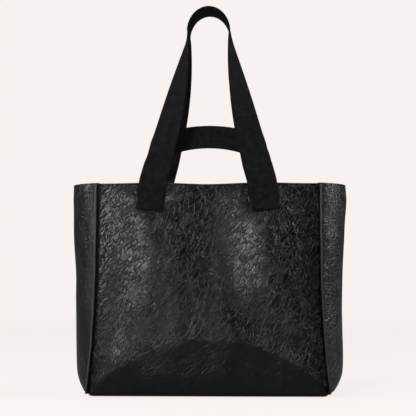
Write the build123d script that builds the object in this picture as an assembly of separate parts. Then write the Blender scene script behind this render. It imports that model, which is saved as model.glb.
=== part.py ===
"""Open leather tote diaper bag with two long and two short webbing handles.

Millimetres, +Z up. The front faces -Y and the bag's right side is +X.
The origin is the middle of the base, on the surface the bag stands on.
"""
import os
from math import asin, atan2, cos, degrees, exp, pi, radians, sin

from build123d import *

os.makedirs("parts", exist_ok=True)

# Body of the bag
BAG_HEIGHT = 310.0
RIM_SEAM_WIDTH = 322.6       # front panel, seam to seam, along the rim
BASE_SEAM_WIDTH = 351.0      # front panel, seam to seam, along the base
RIM_DEPTH = 132.0            # front seam to back seam at the rim
BASE_DEPTH = 150.0
GUSSET_BOW_BASE = 6.0        # how far a gusset bows out past its seams
GUSSET_BOW_LOW = 27.0
GUSSET_BOW_RIM = 42.5
GUSSET_HEEL = 17.0           # height over which the gusset rounds out of the base
PANEL_BOW_EDGE = 1.0         # front and back panels bow out least at the base
PANEL_BELLY = 10.5
BELLY_HEIGHT = 87.0
SEAM_TAPER = 3.2             # power of the widening towards the base

# Materials and layers, measured inwards from the outside of the leather
LEATHER = 1.6
FACING_GAP = 1.0
FACING = 1.4
FACING_DROP = 38.0
LINING_GAP = 2.2
LINING = 0.6
LAYER_CLEARANCE = 0.2
BOARD = 2.5
BOARD_INSET = 6.0

# Raised edge-stitched seams
SEAM_RIDGE = 4.5
SEAM_THICKNESS = 3.0
SEAM_LEAN = 30.0             # degrees from straight ahead, towards the side

# Webbing handles
WEBBING_WIDTH = 40.0
WEBBING = 1.8
LONG_SPREAD = 80.4           # centre of each long leg at the rim
LONG_TOP = 262.7             # top of the long handles above the rim
LONG_ARCH_HALF = 34.0
LONG_ARCH_RISE = 45.0
LONG_LEG_PULL_X = 45.5       # the bow of the leg, seen from the front
LONG_LEG_PULL_Z = 117.0
LONG_TWIST = 88.0            # degrees the leg turns from the rim to the arch
LONG_TWIST_EASE = 8.0        # and how unevenly it turns
LONG_LEG_SECTIONS = 10
LONG_ARCH_SECTIONS = 8
TANGENT_STEP = 0.02          # share of the leg over which its direction is taken
HANDLE_TOP_GAP = 2.0         # between the two long handles at the top
SHORT_SPREAD = 80.0
SHORT_RISE = 80.4            # rim to the middle of the band, along the handle
SHORT_LEG_LEAN = 6.0         # degrees inwards, in the handle's own plane
SHORT_CORNER = 36.0
SHORT_BAND_RADIUS = 160.0
SHORT_LEAN = 28.0            # degrees inwards of upright, at rest
END_DROP = 38.0              # sewn ends, below the rim
END_THICKNESS = 3.4          # folded webbing
END_SPLAY = 5.0
INNER_END_THICKNESS = 1.8
PIVOT_CLEARANCE = 0.3

# Magnetic snap at the middle of the rim
SNAP_DIAMETER = 18.0
SNAP_HEIGHT = 3.0
SNAP_EDGE_RADIUS = 0.75
SNAP_STUD = 6.0
SNAP_STUD_TOP = 5.1          # above the facing
SNAP_WELL_CLEARANCE = 0.3
SNAP_DROP = 14.0
SNAP_PLATE = 0.4
SNAP_PLATE_LENGTH = 24.0
SNAP_PLATE_WIDTH = 9.0

# Pockets on the lining
BOTTLE_POCKET_HEIGHT = 140.0
BOTTLE_POCKET_HALF = 46.0
BOTTLE_POCKET_REACH = 24.0
ELASTIC_HEIGHT = 14.0
ELASTIC = 1.0
SLIP_WIDTH = 210.0
SLIP_HEIGHT = 120.0
SLIP_BOTTOM = 45.0
POCKET_BAG_DEPTH = 130.0

# Zip pocket on the back lining
ZIP_LENGTH = 190.0
ZIP_BELOW_RIM = 122.0
ZIP_FRAME_BORDER = 9.0
ZIP_WINDOW = 12.0
ZIP_FRAME = 1.2
TAPE = 0.5
TOOTH = 1.6
TOOTH_PITCH = 3.0
TOOTH_LENGTH = 2.6
TOOTH_SHARE = 0.6            # of the pitch that a tooth fills
CHAIN_GAP = 1.4              # between the two rows, for the slider's bridge
SLIDER_LENGTH = 9.0
SLIDER_HEIGHT = 9.0
SLIDER_BRIDGE = 6.3
SLIDER_PLATE = 1.2
SLIDER_CLEARANCE = 0.3
BAIL_RADIUS = 0.7
BAIL_RISE = 2.4
BAIL_LENGTH = 7.0
PULL_LENGTH = 24.0
PULL_WIDTH = 6.0
PULL_CORNER = 1.5
PULL = 1.4
PULL_EYE = 1.8               # radius of the rounded end around the bail

LEVELS = [0.0, 0.02, 0.05, 0.09, 0.14, 0.2, 0.28, 0.37, 0.48, 0.6, 0.73, 0.86, 1.0]
SIDES = {"left": -1, "right": 1}
FACES = {"front": 1, "back": -1}

LINING_OUT = LEATHER + LINING_GAP
LINING_IN = LINING_OUT + LINING
FACING_OUT = LEATHER + FACING_GAP
FACING_IN = FACING_OUT + FACING
INNER_END_OUT = max(LINING_IN, FACING_IN) + LAYER_CLEARANCE


def body_form(height):
    """Seam half width, seam half depth, gusset bow and panel bow at a height."""
    share = height / BAG_HEIGHT
    widening = (BASE_SEAM_WIDTH - RIM_SEAM_WIDTH) * (1 - share) ** SEAM_TAPER
    half_width = (RIM_SEAM_WIDTH + widening) / 2
    half_depth = (BASE_DEPTH + (RIM_DEPTH - BASE_DEPTH) * share) / 2
    heel = (GUSSET_BOW_LOW - GUSSET_BOW_BASE) * exp(-height / GUSSET_HEEL)
    gusset_bow = GUSSET_BOW_LOW + (GUSSET_BOW_RIM - GUSSET_BOW_LOW) * share - heel
    belly = height / BELLY_HEIGHT
    panel_bow = PANEL_BOW_EDGE + PANEL_BELLY * belly * exp(1 - belly)
    return half_width, half_depth, gusset_bow, panel_bow


def front_face_y(x, height, inward=0.0):
    """Depth of the front wall at a place, a given distance inside the leather."""
    half_width, half_depth, _, bow = body_form(height)
    return -(half_depth - inward + bow * (1 - (x / half_width) ** 2))


def loft_levels(section):
    """A wall through one closed section at each level of the body."""
    faces = [section(share * BAG_HEIGHT) for share in LEVELS]
    return loft(faces, ruled=True)


def flat_face(height, *edges):
    """A horizontal face inside a ring of edges drawn at height zero."""
    return make_face(edges).moved(Location((0, 0, height)))


def front_wall(out, inner):
    """The front wall between two depths inside the leather."""
    def section(height):
        half_width, half_depth, _, bow = body_form(height)
        end = half_width - max(inner, 0)
        outer_y = -(half_depth - out)
        inner_y = -(half_depth - inner)
        outer = ThreePointArc((-end, outer_y), (0, outer_y - bow), (end, outer_y))
        inside = ThreePointArc((-end, inner_y), (0, inner_y - bow), (end, inner_y))
        left = Line((-end, outer_y), (-end, inner_y))
        right = Line((end, outer_y), (end, inner_y))
        return flat_face(height, outer, right, inside, left)
    return loft_levels(section)


def right_wall(out, inner):
    """The right gusset between two depths inside the leather."""
    def section(height):
        half_width, half_depth, bow, _ = body_form(height)
        radius = (half_depth ** 2 + bow ** 2) / (2 * bow)
        centre = half_width + bow - radius
        sweep_half = asin((half_depth - out) / (radius - out))

        def point(inward, share):
            turn = sweep_half * share
            reach = radius - inward
            return centre + reach * cos(turn), reach * sin(turn)

        outer = ThreePointArc(point(out, -1), point(out, 0), point(out, 1))
        inside = ThreePointArc(point(inner, -1), point(inner, 0), point(inner, 1))
        front = Line(point(out, -1), point(inner, -1))
        back = Line(point(out, 1), point(inner, 1))
        return flat_face(height, outer, back, inside, front)
    return loft_levels(section)


def slab(low, high):
    """A wide box between two heights, for cutting walls to length."""
    size = 2 * (BASE_SEAM_WIDTH + BASE_DEPTH)
    return Pos(0, 0, (low + high) / 2) * Box(size, size, high - low)


def to_back(shape):
    return mirror(shape, about=Plane.XZ)


def to_left(shape):
    return mirror(shape, about=Plane.YZ)


def on_face(shape, face):
    return shape if face == "front" else to_back(shape)


def on_side(shape, side):
    return shape if side == "right" else to_left(shape)


def plan_outline(inward, bottom, thickness):
    """The shape of the base, a given distance inside the leather."""
    half_width, half_depth, _, _ = body_form(bottom + thickness)
    _, _, gusset_bow, panel_bow = body_form(0)
    x = half_width - inward
    y = half_depth - inward
    edges = [
        ThreePointArc((-x, -y), (0, -y - panel_bow), (x, -y)),
        ThreePointArc((x, -y), (x + gusset_bow, 0), (x, y)),
        ThreePointArc((x, y), (0, y + panel_bow), (-x, y)),
        ThreePointArc((-x, y), (-x - gusset_bow, 0), (-x, -y)),
    ]
    return extrude(flat_face(bottom, *edges), thickness)


def make_shell(nodes):
    """Outer leather: two panels, two gussets, the base and its stiff board."""
    panel = front_wall(0, LEATHER)
    gusset = right_wall(0, LEATHER)
    for face in FACES:
        nodes[face + "_panel"] = on_face(panel, face)
    for side in SIDES:
        nodes[side + "_gusset"] = on_side(gusset, side)
    inset = LEATHER + LAYER_CLEARANCE
    nodes["base_panel"] = plan_outline(inset, 0, LEATHER)
    nodes["base_board"] = plan_outline(BOARD_INSET, LEATHER + LAYER_CLEARANCE, BOARD)


def make_seams(nodes):
    """Raised seams where the panels and the gussets are stitched edge to edge."""
    lean = radians(SEAM_LEAN)
    ahead = (sin(lean), -cos(lean))
    across = (cos(lean), sin(lean))

    def section(height):
        half_width, half_depth, _, _ = body_form(height)
        root_x = half_width + ahead[0] * 2 * LAYER_CLEARANCE
        root_y = -half_depth + ahead[1] * (SEAM_THICKNESS / 2)
        corners = []
        for along, side in ((0, -1), (1, -1), (1, 1), (0, 1)):
            shift = side * SEAM_THICKNESS / 2
            x = root_x + ahead[0] * along * SEAM_RIDGE + across[0] * shift
            y = root_y + ahead[1] * along * SEAM_RIDGE + across[1] * shift
            corners.append((x, y))
        return flat_face(height, *Polyline(*corners, close=True).edges())

    ridge = loft_levels(section)
    for face in FACES:
        for side in SIDES:
            nodes[f"seam_{face}_{side}"] = on_side(on_face(ridge, face), side)


def make_lining(nodes):
    """Leather facing inside the rim, and the cloth lining below it."""
    facing_low = BAG_HEIGHT - FACING_DROP
    floor = LEATHER + BOARD + 2 * LAYER_CLEARANCE
    facing_zone = slab(facing_low, BAG_HEIGHT + 1)
    lining_zone = slab(floor, facing_low - LAYER_CLEARANCE)
    facing_front = front_wall(FACING_OUT, FACING_IN) & facing_zone
    facing_right = right_wall(FACING_OUT, FACING_IN) & facing_zone
    lining_front = front_wall(LINING_OUT, LINING_IN) & lining_zone
    lining_right = right_wall(LINING_OUT, LINING_IN) & lining_zone
    slot_z = BAG_HEIGHT - ZIP_BELOW_RIM
    slot = Pos(0, BASE_DEPTH / 2, slot_z) * Box(ZIP_LENGTH, BASE_DEPTH / 2, ZIP_WINDOW)
    for face in FACES:
        nodes["facing_" + face] = on_face(facing_front, face)
        nodes["lining_" + face] = on_face(lining_front, face)
    nodes["lining_back"] = nodes["lining_back"] - slot
    for side in SIDES:
        nodes["facing_" + side] = on_side(facing_right, side)
        nodes["lining_" + side] = on_side(lining_right, side)
    base_inset = LINING_IN + LAYER_CLEARANCE
    nodes["lining_base"] = plan_outline(base_inset, floor, LINING)


def long_leg_point(share):
    """Centre of the long handle's right leg, from the rim to the arch."""
    top = BAG_HEIGHT + LONG_TOP - LONG_ARCH_RISE
    x_points = (LONG_SPREAD, LONG_LEG_PULL_X, LONG_ARCH_HALF)
    z_points = (BAG_HEIGHT, BAG_HEIGHT + LONG_LEG_PULL_Z, top)
    weights = ((1 - share) ** 2, 2 * share * (1 - share), share ** 2)
    x = sum(weight * value for weight, value in zip(weights, x_points))
    z = sum(weight * value for weight, value in zip(weights, z_points))
    rise = (z - BAG_HEIGHT) / (top - BAG_HEIGHT)
    y = long_pivot_y() + (long_top_y() - long_pivot_y()) * rise
    return Vector(x, y, z)


def long_pivot_y():
    """The long handle bends just in front of its sewn end, at the rim."""
    nearest_x = LONG_SPREAD - WEBBING_WIDTH / 2
    end_front = front_face_y(nearest_x, BAG_HEIGHT) - END_THICKNESS - PIVOT_CLEARANCE
    return end_front - WEBBING / 2 - PIVOT_CLEARANCE


def long_top_y():
    return -(WEBBING_WIDTH + HANDLE_TOP_GAP) / 2


def webbing_section(centre, along, across):
    """A rectangle of webbing across its run."""
    plane = Plane(origin=centre, x_dir=across, z_dir=along)
    return plane * Rectangle(WEBBING_WIDTH, WEBBING)


def long_twist(share):
    """The leg turns from flat on the panel to edge on under the arch."""
    return radians(LONG_TWIST * share + LONG_TWIST_EASE * sin(2 * pi * share))


def make_long_handle():
    """One long loop: two twisting legs and the arch that joins them."""
    half = []
    for step in range(LONG_LEG_SECTIONS + 1):
        share = step / LONG_LEG_SECTIONS
        centre = long_leg_point(share)
        ahead = long_leg_point(min(share + TANGENT_STEP, 1.0))
        behind = long_leg_point(max(share - TANGENT_STEP, 0.0))
        along = (ahead - behind).normalized()
        if step == 0:
            along = Vector(0, along.Y, along.Z).normalized()
        turn = long_twist(share)
        across = Vector(cos(turn), sin(turn), 0)
        across = (across - along * across.dot(along)).normalized()
        half.append(webbing_section(centre, along, across))
    arch_centre_z = BAG_HEIGHT + LONG_TOP - LONG_ARCH_RISE
    rise = LONG_ARCH_RISE - WEBBING / 2
    for step in range(1, LONG_ARCH_SECTIONS + 1):
        turn = pi / 2 * step / LONG_ARCH_SECTIONS
        height = arch_centre_z + rise * sin(turn)
        centre = Vector(LONG_ARCH_HALF * cos(turn), long_top_y(), height)
        along = Vector(-LONG_ARCH_HALF * sin(turn), 0, rise * cos(turn)).normalized()
        half.append(webbing_section(centre, along, Vector(0, 1, 0)))
    right_half = loft(half, ruled=True)
    return right_half + to_left(right_half)


def short_pivot_y():
    """The short handle bends just behind its sewn end, inside the rim."""
    farthest_x = SHORT_SPREAD + WEBBING_WIDTH / 2
    end_back = front_face_y(farthest_x, BAG_HEIGHT, INNER_END_OUT)
    return end_back + INNER_END_THICKNESS + WEBBING / 2 + 2 * PIVOT_CLEARANCE


def make_short_handle(lean):
    """One short loop, flat in a plane that leans inwards from the front rim."""
    leg_turn = radians(SHORT_LEG_LEAN)
    band_centre = (0, SHORT_RISE - SHORT_BAND_RADIUS)
    inner_radius = SHORT_BAND_RADIUS - SHORT_CORNER
    # The corner arc touches the leg's line and the band's arc from inside.
    leg_dir = (-sin(leg_turn), cos(leg_turn))
    inward = (-cos(leg_turn), -sin(leg_turn))
    start = (SHORT_SPREAD + inward[0] * SHORT_CORNER, inward[1] * SHORT_CORNER)
    offset = (start[0] - band_centre[0], start[1] - band_centre[1])
    along = offset[0] * leg_dir[0] + offset[1] * leg_dir[1]
    square = offset[0] ** 2 + offset[1] ** 2 - inner_radius ** 2
    leg_length = -along + (along ** 2 - square) ** 0.5
    corner = (start[0] + leg_dir[0] * leg_length, start[1] + leg_dir[1] * leg_length)
    leg_top = (corner[0] - inward[0] * SHORT_CORNER, corner[1] - inward[1] * SHORT_CORNER)
    reach = atan2(corner[1] - band_centre[1], corner[0] - band_centre[0])
    band_end = (
        band_centre[0] + SHORT_BAND_RADIUS * cos(reach),
        band_centre[1] + SHORT_BAND_RADIUS * sin(reach),
    )
    middle = (reach + leg_turn) / 2
    corner_mid = (corner[0] + SHORT_CORNER * cos(middle), corner[1] + SHORT_CORNER * sin(middle))

    def left(point):
        return -point[0], point[1]

    path = Wire([
        Line((SHORT_SPREAD, 0), leg_top),
        ThreePointArc(leg_top, corner_mid, band_end),
        ThreePointArc(band_end, (0, SHORT_RISE), left(band_end)),
        ThreePointArc(left(band_end), left(corner_mid), left(leg_top)),
        Line(left(leg_top), (-SHORT_SPREAD, 0)),
    ])
    across = (cos(leg_turn), sin(leg_turn), 0)
    plane = Plane(origin=(SHORT_SPREAD, 0, 0), x_dir=across, z_dir=(*leg_dir, 0))
    strap = sweep(plane * Rectangle(WEBBING_WIDTH, WEBBING), path=path)
    below = Pos(0, -WEBBING_WIDTH / 2, 0) * Box(4 * SHORT_SPREAD, WEBBING_WIDTH, 4 * WEBBING)
    loop = strap - below
    return Pos(0, short_pivot_y(), BAG_HEIGHT) * Rot(90 - lean, 0, 0) * loop


def make_handles(nodes):
    """Four webbing loops and the eight ends sewn to the panels and facings."""
    long_handle = make_long_handle()
    nodes["long_front_handle"] = long_handle
    nodes["long_back_handle"] = to_back(long_handle)
    nodes["short_front_handle"] = make_short_handle(SHORT_LEAN)
    nodes["short_back_handle"] = to_back(make_short_handle(180))

    top = BAG_HEIGHT - WEBBING
    splayed = Pos(LONG_SPREAD, -BASE_DEPTH / 2, top) * Rot(0, -END_SPLAY, 0)
    splayed *= Pos(0, 0, -END_DROP / 2)
    outline = splayed * Box(WEBBING_WIDTH, BASE_DEPTH / 2, END_DROP)
    patch = front_wall(-END_THICKNESS - PIVOT_CLEARANCE, -PIVOT_CLEARANCE) & outline
    upright = Pos(SHORT_SPREAD, -BASE_DEPTH / 2, top - END_DROP / 2)
    inner_outline = upright * Box(WEBBING_WIDTH, BASE_DEPTH / 2, END_DROP)
    inner_wall = front_wall(INNER_END_OUT, INNER_END_OUT + INNER_END_THICKNESS)
    inner_patch = inner_wall & inner_outline
    for face in FACES:
        for side in SIDES:
            nodes[f"long_{face}_end_{side}"] = on_side(on_face(patch, face), side)
            nodes[f"short_{face}_end_{side}"] = on_side(on_face(inner_patch, face), side)


def make_snap(nodes):
    """A magnetic snap at the middle of the rim, and its plates behind the facing."""
    height = BAG_HEIGHT - SNAP_DROP
    plate_half = SNAP_PLATE_WIDTH / 2
    run = front_face_y(0, height + plate_half) - front_face_y(0, height - plate_half)
    lean = degrees(atan2(run, SNAP_PLATE_WIDTH))
    seat_y = front_face_y(0, height, FACING_IN + LAYER_CLEARANCE)
    seat = Pos(0, seat_y, height) * Rot(-90 - lean, 0, 0)
    disc = Pos(0, 0, SNAP_HEIGHT / 2) * Cylinder(SNAP_DIAMETER / 2, SNAP_HEIGHT)
    inner_edge = disc.edges().filter_by(GeomType.CIRCLE).sort_by(Axis.Z)[-1]
    disc = fillet(inner_edge, SNAP_EDGE_RADIUS)
    well_radius = SNAP_STUD / 2 + SNAP_WELL_CLEARANCE
    well = Pos(0, 0, SNAP_HEIGHT) * Cylinder(well_radius, SNAP_HEIGHT)
    stud = Pos(0, 0, SNAP_STUD_TOP / 2) * Cylinder(SNAP_STUD / 2, SNAP_STUD_TOP)
    nodes["snap_socket"] = seat * (disc - well)
    nodes["snap_stud"] = to_back(seat * (disc + stud))
    plate_y = front_face_y(0, height, LEATHER + FACING_GAP / 2)
    upright = Pos(0, plate_y, height) * Rot(-lean, 0, 0)
    plate = upright * Box(SNAP_PLATE_LENGTH, SNAP_PLATE, SNAP_PLATE_WIDTH)
    nodes["snap_socket_plate"] = plate
    nodes["snap_stud_plate"] = to_back(plate)


def make_pockets(nodes):
    """Two elasticated bottle pockets, a slip pocket and the zip pocket's bag."""
    floor = LEATHER + BOARD + LINING + 3 * LAYER_CLEARANCE
    top = floor + BOTTLE_POCKET_HEIGHT

    def pocket_wall(low, high, thickness):
        half_width, half_depth, bow, _ = body_form(high)
        radius = (half_depth ** 2 + bow ** 2) / (2 * bow)
        gusset_x = half_width + bow - radius + (radius ** 2 - BOTTLE_POCKET_HALF ** 2) ** 0.5
        edge_x = gusset_x - LINING_IN - ELASTIC_HEIGHT / 2
        mid_x = edge_x - BOTTLE_POCKET_REACH
        half = BOTTLE_POCKET_HALF
        inside = ThreePointArc((edge_x, -half), (mid_x, 0), (edge_x, half))
        outer_x = edge_x + thickness
        outside = ThreePointArc((outer_x, -half), (mid_x + thickness, 0), (outer_x, half))
        front = Line((edge_x, -half), (outer_x, -half))
        back = Line((edge_x, half), (outer_x, half))
        return extrude(flat_face(low, inside, back, outside, front), high - low)

    cloth = pocket_wall(floor, top - ELASTIC_HEIGHT - LAYER_CLEARANCE, LINING)
    elastic = pocket_wall(top - ELASTIC_HEIGHT, top, ELASTIC)
    for side in SIDES:
        nodes["bottle_pocket_" + side] = on_side(cloth, side)
        nodes["bottle_elastic_" + side] = on_side(elastic, side)

    slip_from = LINING_IN + LAYER_CLEARANCE
    slip_zone = Pos(0, -BASE_DEPTH / 2, SLIP_BOTTOM + SLIP_HEIGHT / 2)
    slip_zone *= Box(SLIP_WIDTH, BASE_DEPTH / 2, SLIP_HEIGHT)
    nodes["slip_pocket"] = front_wall(slip_from, slip_from + LINING) & slip_zone

    bag_top = BAG_HEIGHT - ZIP_BELOW_RIM + ZIP_WINDOW
    bag_zone = Pos(0, -BASE_DEPTH / 2, bag_top - POCKET_BAG_DEPTH / 2)
    bag_zone *= Box(ZIP_LENGTH + ZIP_WINDOW, BASE_DEPTH / 2, POCKET_BAG_DEPTH)
    bag = front_wall(LEATHER + LAYER_CLEARANCE, LINING_OUT - LAYER_CLEARANCE) & bag_zone
    nodes["zip_pocket_bag"] = to_back(bag)


def make_zip(nodes):
    """A flat zip in a leather window, its slider and its pull."""
    zip_z = BAG_HEIGHT - ZIP_BELOW_RIM
    half_frame = ZIP_LENGTH / 2 + ZIP_FRAME_BORDER
    wall_y = -front_face_y(half_frame, zip_z + ZIP_FRAME_BORDER + ZIP_WINDOW / 2, LINING_IN)
    frame_y = wall_y - LAYER_CLEARANCE - ZIP_FRAME / 2
    outer = Box(2 * half_frame, ZIP_FRAME, ZIP_WINDOW + 2 * ZIP_FRAME_BORDER)
    window = Box(ZIP_LENGTH, 2 * ZIP_FRAME, ZIP_WINDOW)
    nodes["zip_frame"] = Pos(0, frame_y, zip_z) * (outer - window)

    chain_y = frame_y
    row_z = CHAIN_GAP / 2 + TOOTH_LENGTH / 2
    tape_low = CHAIN_GAP / 2 + TOOTH_LENGTH + LAYER_CLEARANCE
    tape_high = ZIP_WINDOW / 2 - LAYER_CLEARANCE
    count = int((ZIP_LENGTH - 2 * SLIDER_LENGTH) / TOOTH_PITCH)
    for name, up in (("upper", 1), ("lower", -1)):
        teeth = []
        for index in range(count):
            x = (index - (count - 1) / 2) * TOOTH_PITCH
            place = Pos(x, chain_y, zip_z + up * row_z)
            teeth.append(place * Box(TOOTH_PITCH * TOOTH_SHARE, TOOTH, TOOTH_LENGTH))
        nodes["zip_teeth_" + name] = Compound(children=teeth)
        tape_z = zip_z + up * (tape_low + tape_high) / 2
        tape = Box(ZIP_LENGTH - 2 * LAYER_CLEARANCE, TAPE, tape_high - tape_low)
        nodes["zip_tape_" + name] = Pos(0, chain_y, tape_z) * tape

    slider_x = ((count - 1) * TOOTH_PITCH - SLIDER_LENGTH) / 2
    gap = TOOTH / 2 + SLIDER_CLEARANCE
    plates = Box(SLIDER_LENGTH, SLIDER_PLATE, SLIDER_HEIGHT)
    front_plate = Pos(0, -gap - SLIDER_PLATE / 2, 0) * plates
    bridge = Box(SLIDER_BRIDGE, 2 * gap, CHAIN_GAP - 2 * SLIDER_CLEARANCE)
    bar_y = -gap - SLIDER_PLATE - BAIL_RISE
    bar = Pos(0, bar_y, 0) * Rot(0, 90, 0) * Cylinder(BAIL_RADIUS, BAIL_LENGTH)
    slider = front_plate + Pos(0, gap + SLIDER_PLATE / 2, 0) * plates + bridge + bar
    for side in (-1, 1):
        post_x = side * (BAIL_LENGTH / 2 - BAIL_RADIUS)
        post_y = -gap - SLIDER_PLATE - BAIL_RISE / 2
        post = Box(2 * BAIL_RADIUS, BAIL_RISE, 2 * BAIL_RADIUS)
        slider += Pos(post_x, post_y, 0) * post
    nodes["zip_slider"] = Pos(slider_x, chain_y, zip_z) * slider

    pull_width = BAIL_LENGTH - 4 * BAIL_RADIUS - 2 * SLIDER_CLEARANCE
    neck = Pos(0, 0, -PULL_EYE) * Box(pull_width, PULL, 2 * PULL_EYE)
    eye = Rot(0, 90, 0) * Cylinder(PULL_EYE, pull_width)
    hole = Rot(0, 90, 0) * Cylinder(BAIL_RADIUS + SLIDER_CLEARANCE, 2 * pull_width)
    tab = Pos(0, 0, -PULL_EYE * 2 - PULL_LENGTH / 2) * Box(PULL_WIDTH, PULL, PULL_LENGTH)
    tab = fillet(tab.edges().filter_by(Axis.Y), PULL_CORNER)
    pull = neck + eye + tab - hole
    nodes["zip_pull"] = Pos(slider_x, chain_y + bar_y, zip_z) * pull
    for name, side in (("closed", 1), ("open", -1)):
        stop_x = side * (count * TOOTH_PITCH / 2 + TOOTH_PITCH)
        stop = Box(TOOTH_PITCH, TOOTH, 2 * tape_low)
        nodes["zip_stop_" + name] = Pos(stop_x, chain_y, zip_z) * stop
    print("slider x", round(slider_x, 3), "bail y", round(chain_y + bar_y, 3), "z", zip_z)


def main():
    nodes = {}
    make_shell(nodes)
    make_seams(nodes)
    make_lining(nodes)
    make_handles(nodes)
    make_snap(nodes)
    make_pockets(nodes)
    make_zip(nodes)
    for name, shape in nodes.items():
        export_step(shape, f"parts/{name}.step")
    print("long pivot y", round(long_pivot_y(), 3), "short pivot y", round(short_pivot_y(), 3))
    print(len(nodes), "nodes")


main()
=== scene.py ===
"""Open leather tote diaper bag with four webbing handles, dressed around its CAD frame.

Metres, +Z up, front towards -Y, as in the CAD.
"""
from math import asin, atan2, cos, exp, hypot, pi, radians, sin

import bmesh
import bpy
from mathutils import Matrix, Vector, noise


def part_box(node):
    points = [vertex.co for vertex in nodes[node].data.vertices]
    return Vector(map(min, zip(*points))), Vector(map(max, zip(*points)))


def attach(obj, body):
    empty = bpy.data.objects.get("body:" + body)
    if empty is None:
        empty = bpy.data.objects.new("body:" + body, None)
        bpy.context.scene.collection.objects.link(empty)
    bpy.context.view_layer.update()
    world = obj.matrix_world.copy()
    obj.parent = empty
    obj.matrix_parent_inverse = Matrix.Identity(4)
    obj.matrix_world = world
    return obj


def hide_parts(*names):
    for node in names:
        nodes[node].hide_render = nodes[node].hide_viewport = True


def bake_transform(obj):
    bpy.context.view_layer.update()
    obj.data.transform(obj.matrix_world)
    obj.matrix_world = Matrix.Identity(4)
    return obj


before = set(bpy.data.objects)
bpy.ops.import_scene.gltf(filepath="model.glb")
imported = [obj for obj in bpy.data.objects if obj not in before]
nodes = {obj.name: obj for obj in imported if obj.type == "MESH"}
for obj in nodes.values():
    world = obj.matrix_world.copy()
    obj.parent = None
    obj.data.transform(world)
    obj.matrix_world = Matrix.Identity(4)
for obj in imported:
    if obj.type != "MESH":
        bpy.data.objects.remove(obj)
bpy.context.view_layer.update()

scene = bpy.context.scene


# Camera: a long lens, level with the middle of the bag and a little to its right. It looks
# almost straight ahead and is shifted up, so that the upright edges stay parallel.
camera = bpy.data.objects.new("camera", bpy.data.cameras.new("camera"))
camera.location = (0.052, -1.820, 0.186)
aim = Vector((0.0, -0.068, 0.2187)) - camera.location
camera.rotation_euler = aim.to_track_quat("-Z", "Y").to_euler()
camera.data.sensor_width = 36.0
camera.data.lens = 104.7
camera.data.shift_y = 0.09
scene.collection.objects.link(camera)
scene.camera = camera
scene.view_settings.view_transform = "Standard"


# Outer leather: two panels and two bowed gussets of soft crackle-finished black leather.
# Cut flat, sewn edge to edge at the four corners, and left to slump into shape.
BAG_HEIGHT = 0.310
RIM_SEAM_WIDTH = 0.3226
BASE_SEAM_WIDTH = 0.351
RIM_DEPTH = 0.132
BASE_DEPTH = 0.150
SEAM_TAPER = 3.2             # power of the widening towards the base
GUSSET_BOW = 0.027           # how far a gusset bows out past its seams
GUSSET_BOW_RISE = 0.0155
GUSSET_TUCK = 0.021
GUSSET_HEEL = 0.017          # height over which a gusset rounds out of the base
PANEL_BOW = 0.001
BELLY_BOW = 0.0105
BELLY_HEIGHT = 0.087
LEATHER = 0.0016
RIM_DIP = 0.0012
FOLD_LOW = 0.012             # the arched fold at the seams, and its rise between them
FOLD_RISE = 0.074
FOLD_ARCH = 2.2
BELLY_FOLD = 0.0030
DENT = 0.0021
HANDLE_DRAG = 0.0032         # soft upright folds that the handles pull in the panels
DRAG_PITCH = 0.167
DRAG_START = 0.117
HANDLE_PULL = 0.0062         # one larger fold under the right-hand handle end
PULL_AT = 0.090
PULL_WIDTH = 0.034
HANDLE_SPREAD = 0.0804       # middle of a sewn handle end, from the middle of the panel
SEWN_WIDTH = 0.028           # the leather lies flatter under a sewn end
SEAM_PULL = 0.0016
SEAM_PULL_WIDTH = 0.0030
BASE_TURN = 0.0055           # height at which the panels meet the turned-up base
GUSSET_REACH = 0.075         # half a gusset, across
GUSSET_FLAT_HALF = 0.082     # and laid flat
FACING_LOW = 0.272


def body_form(z):
    """Seam half width, seam half depth, gusset bow and panel bow at a height."""
    share = min(z / BAG_HEIGHT, 1.0)
    widening = (BASE_SEAM_WIDTH - RIM_SEAM_WIDTH) * (1 - share) ** SEAM_TAPER
    half_width = (RIM_SEAM_WIDTH + widening) / 2
    half_depth = (BASE_DEPTH + (RIM_DEPTH - BASE_DEPTH) * share) / 2
    gusset_bow = GUSSET_BOW + GUSSET_BOW_RISE * share - GUSSET_TUCK * exp(-z / GUSSET_HEEL)
    belly = z / BELLY_HEIGHT
    panel_bow = PANEL_BOW + BELLY_BOW * belly * exp(1 - belly)
    return half_width, half_depth, gusset_bow, panel_bow


def wall_place(wall, along, z, inset=0.0):
    """A place on a wall, along from -1 to 1 anticlockwise, and the way that it faces."""
    half_width, half_depth, gusset_bow, panel_bow = body_form(z)
    x, y = half_width - inset, half_depth - inset
    if wall in ("front", "back"):
        place = Vector((x * along, -y - panel_bow * (1 - along ** 2), z))
        outward = Vector((2 * panel_bow * along / x, -1, 0)).normalized()
    else:
        radius = (y * y + gusset_bow ** 2) / (2 * gusset_bow)
        turn = asin(y / radius) * along
        outward = Vector((cos(turn), sin(turn), 0))
        place = Vector((x + gusset_bow - radius, 0, z)) + outward * radius
    if wall in ("back", "left"):
        turned = Matrix.Diagonal((-1, -1, 1))
        return turned @ place, turned @ outward
    return place, outward


def smooth_step(value):
    value = min(max(value, 0.0), 1.0)
    return value * value * (3 - 2 * value)


def above_fold(along, z):
    """Height above the arched fold where the belly tucks in towards the base."""
    return z - FOLD_LOW - FOLD_RISE * (1 - abs(along) ** FOLD_ARCH)


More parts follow.
